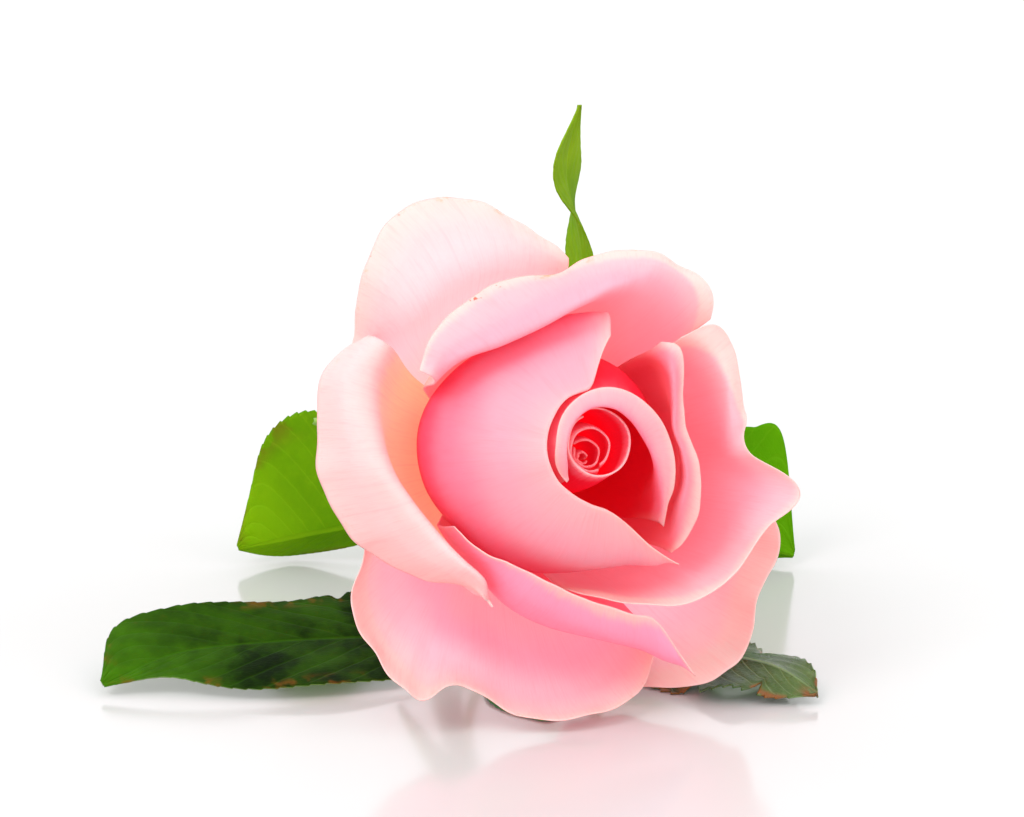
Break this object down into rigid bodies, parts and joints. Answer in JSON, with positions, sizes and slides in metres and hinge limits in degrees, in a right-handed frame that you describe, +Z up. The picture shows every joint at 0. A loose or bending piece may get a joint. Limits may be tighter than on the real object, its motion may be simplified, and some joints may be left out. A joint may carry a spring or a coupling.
{
  "type": "cut rose",
  "caption": "Open garden rose cut with its stem, lying on its side: rolled heart, cupped and turned-back petals, calyx, curved stem and two compound leaves.",
  "frame": {"origin": "middle of the outer box on the table plane, under the flower", "axes": "+Y runs back along the stem to its cut end and the bloom looks towards -Y, +Z is up off the table, +X is to the right seen from the bloom's front"},
  "size_m": [0.1292, 0.1748, 0.095],
  "materials": {
    "pale_petal": "satin",
    "pink_petal": "satin",
    "heart_petal": "satin",
    "calyx_green": "matte",
    "stem_green": "satin",
    "dark_leaf": "satin",
    "light_leaf": "satin",
    "stalk_green": "matte"
  },
  "bodies": {
    "root": {"upper_left_petal": "pale_petal", "left_petal": "pale_petal", "lower_right_petal": "pale_petal", "hood_petal": "pale_petal", "back_right_petal": "pale_petal", "back_top_petal": "pale_petal", "back_left_petal": "pale_petal", "bottom_petal": "pink_petal", "lower_cup_petal": "pink_petal", "right_petal": "pink_petal", "inner_right_petal": "pink_petal", "heart_wrap_petal": "pink_petal", "ring_petal": "heart_petal", "scroll_petal_1": "heart_petal", "scroll_petal_2": "heart_petal", "scroll_petal_3": "heart_petal", "scroll_petal_4": "heart_petal", "hip": "calyx_green", "sepal_1": "calyx_green", "sepal_2": "calyx_green", "sepal_3": "calyx_green", "sepal_4": "calyx_green", "sepal_5": "calyx_green", "stem": "stem_green", "left_front_leaflet": "dark_leaf", "right_front_leaflet": "dark_leaf", "centre_front_leaflet": "dark_leaf", "left_back_leaflet": "light_leaf", "right_back_leaflet": "light_leaf", "top_leaflet": "light_leaf", "front_leaf_stalk": "stalk_green", "left_front_stalk": "stalk_green", "right_front_stalk": "stalk_green", "back_leaf_stalk": "stalk_green", "left_back_stalk": "stalk_green", "right_back_stalk": "stalk_green"}
  },
  "joints": []
}
